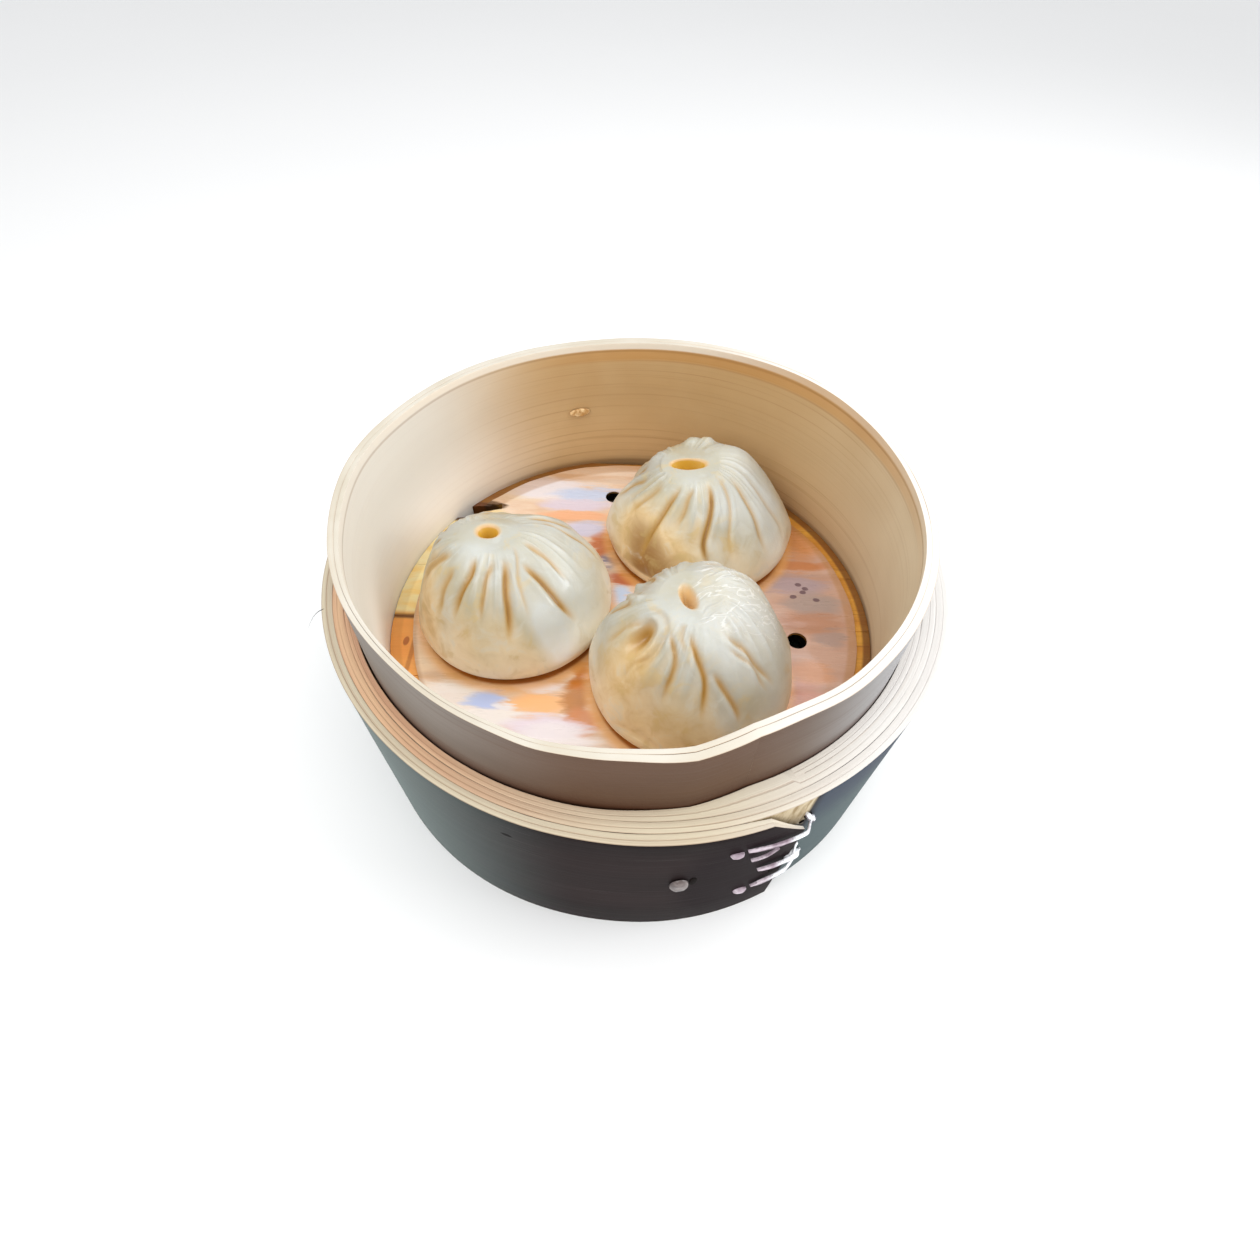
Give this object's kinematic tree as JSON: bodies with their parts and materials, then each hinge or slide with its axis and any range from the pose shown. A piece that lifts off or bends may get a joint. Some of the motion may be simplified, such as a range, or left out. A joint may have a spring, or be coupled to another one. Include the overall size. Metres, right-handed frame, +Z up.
{
  "type": "soup dumplings in a bamboo steamer",
  "caption": "Round bamboo steamer tier of wound strip hoops on a slatted floor, holding pleated steamed soup dumplings on a punched round liner.",
  "frame": {"origin": "centre of the tier's overall box, on the flat bottom of the outer hoop that it stands on", "axes": "+Z up out of the open top, -Y towards the lacing and the kinked front of the rim, +X to the right seen from the front"},
  "size_m": [0.1532, 0.1536, 0.0743],
  "materials": {
    "smoked_bamboo": "dark satin bamboo skin",
    "pale_bamboo": "bare damp bamboo strip",
    "golden_bamboo": "bare golden bamboo, damp",
    "wet_liner": "thin wet paper, glossy where wet",
    "steamed_dough": "steamed dough skin with a damp sheen",
    "silvery_rattan": "smooth peeled rattan, silvery"
  },
  "bodies": {
    "root": {"outer_hoop": "smoked_bamboo", "inner_hoop": "pale_bamboo", "crossbar_left": "golden_bamboo", "crossbar_right": "golden_bamboo", "slat_1": "golden_bamboo", "slat_2": "golden_bamboo", "slat_3": "golden_bamboo", "slat_4": "golden_bamboo", "slat_5": "golden_bamboo", "slat_6": "golden_bamboo", "slat_7": "golden_bamboo", "liner": "wet_liner", "dumpling_left": "steamed_dough", "dumpling_back": "steamed_dough", "dumpling_front": "steamed_dough", "peg": "silvery_rattan", "lace_1": "silvery_rattan", "lace_2": "silvery_rattan", "lace_3": "silvery_rattan", "lace_4": "silvery_rattan", "tie": "pale_bamboo"}
  },
  "joints": []
}
